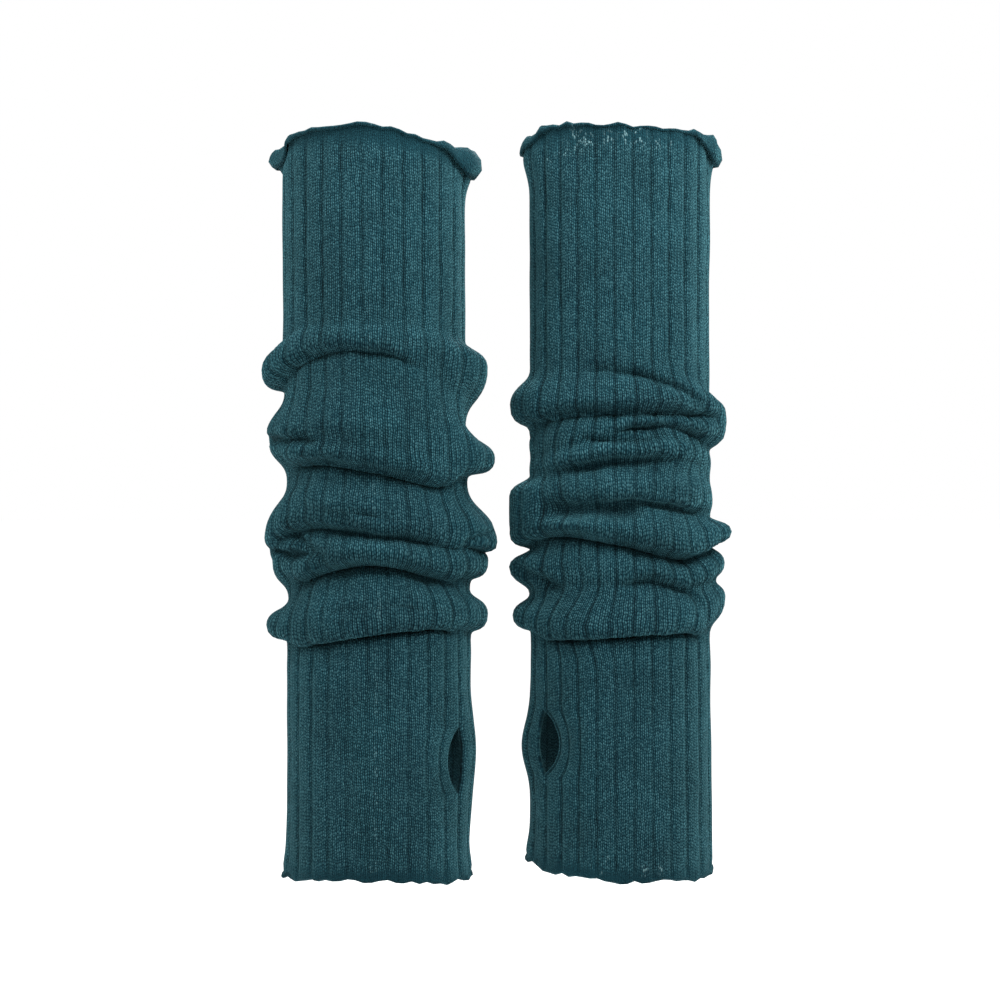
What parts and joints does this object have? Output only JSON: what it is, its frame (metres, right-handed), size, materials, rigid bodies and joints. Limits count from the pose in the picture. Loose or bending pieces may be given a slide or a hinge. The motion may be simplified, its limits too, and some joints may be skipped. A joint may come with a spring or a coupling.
{
  "type": "pair of wrist warmers",
  "caption": "Pair of slouched rib-knit wrist warmers, filled out and hollow, with rolled rims, soft ring folds and thumb slits that face each other.",
  "frame": {"origin": "on the axis of the left warmer, half way up its length, where the forearm fills and holds the tube", "axes": "+Z along the forearm from the hand towards the elbow, -Y towards the viewer, +X from the left warmer to the right warmer"},
  "size_m": [0.2106, 0.0833, 0.3313],
  "materials": {
    "knit": "soft wide rib knit in dark teal yarn"
  },
  "bodies": {
    "root": {"left_warmer": "knit", "right_warmer": "knit"}
  },
  "joints": []
}
